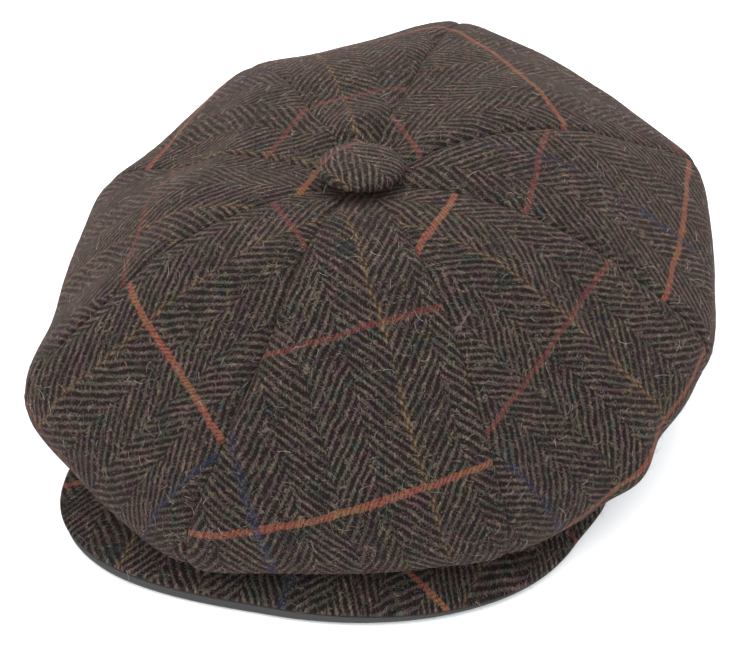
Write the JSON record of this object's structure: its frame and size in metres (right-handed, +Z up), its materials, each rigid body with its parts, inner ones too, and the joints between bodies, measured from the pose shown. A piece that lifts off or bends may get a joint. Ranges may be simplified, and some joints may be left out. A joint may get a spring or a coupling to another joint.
{
  "type": "eight-panel flat cap",
  "caption": "Soft tweed cap with a full panelled crown, a covered button on top, an upright head band and a short peak.",
  "frame": {"origin": "on the floor, under the middle of the cap's bounding box", "axes": "+Z up from the floor to the button, -Y the way the peak points, +X to the viewer's right when looking at the peak"},
  "size_m": [0.256, 0.2774, 0.115],
  "materials": {
    "tweed": "brown and grey herringbone wool tweed with a windowpane check of thin orange, red, mustard and blue lines",
    "peak_facing": "smooth matte grey-brown facing cloth"
  },
  "bodies": {
    "root": {"crown_front": "tweed", "crown_front_right": "tweed", "crown_right": "tweed", "crown_back_right": "tweed", "crown_back": "tweed", "crown_back_left": "tweed", "crown_left": "tweed", "crown_front_left": "tweed", "band": "tweed", "peak": "tweed", "peak_under": "peak_facing", "button": "tweed"}
  },
  "joints": []
}
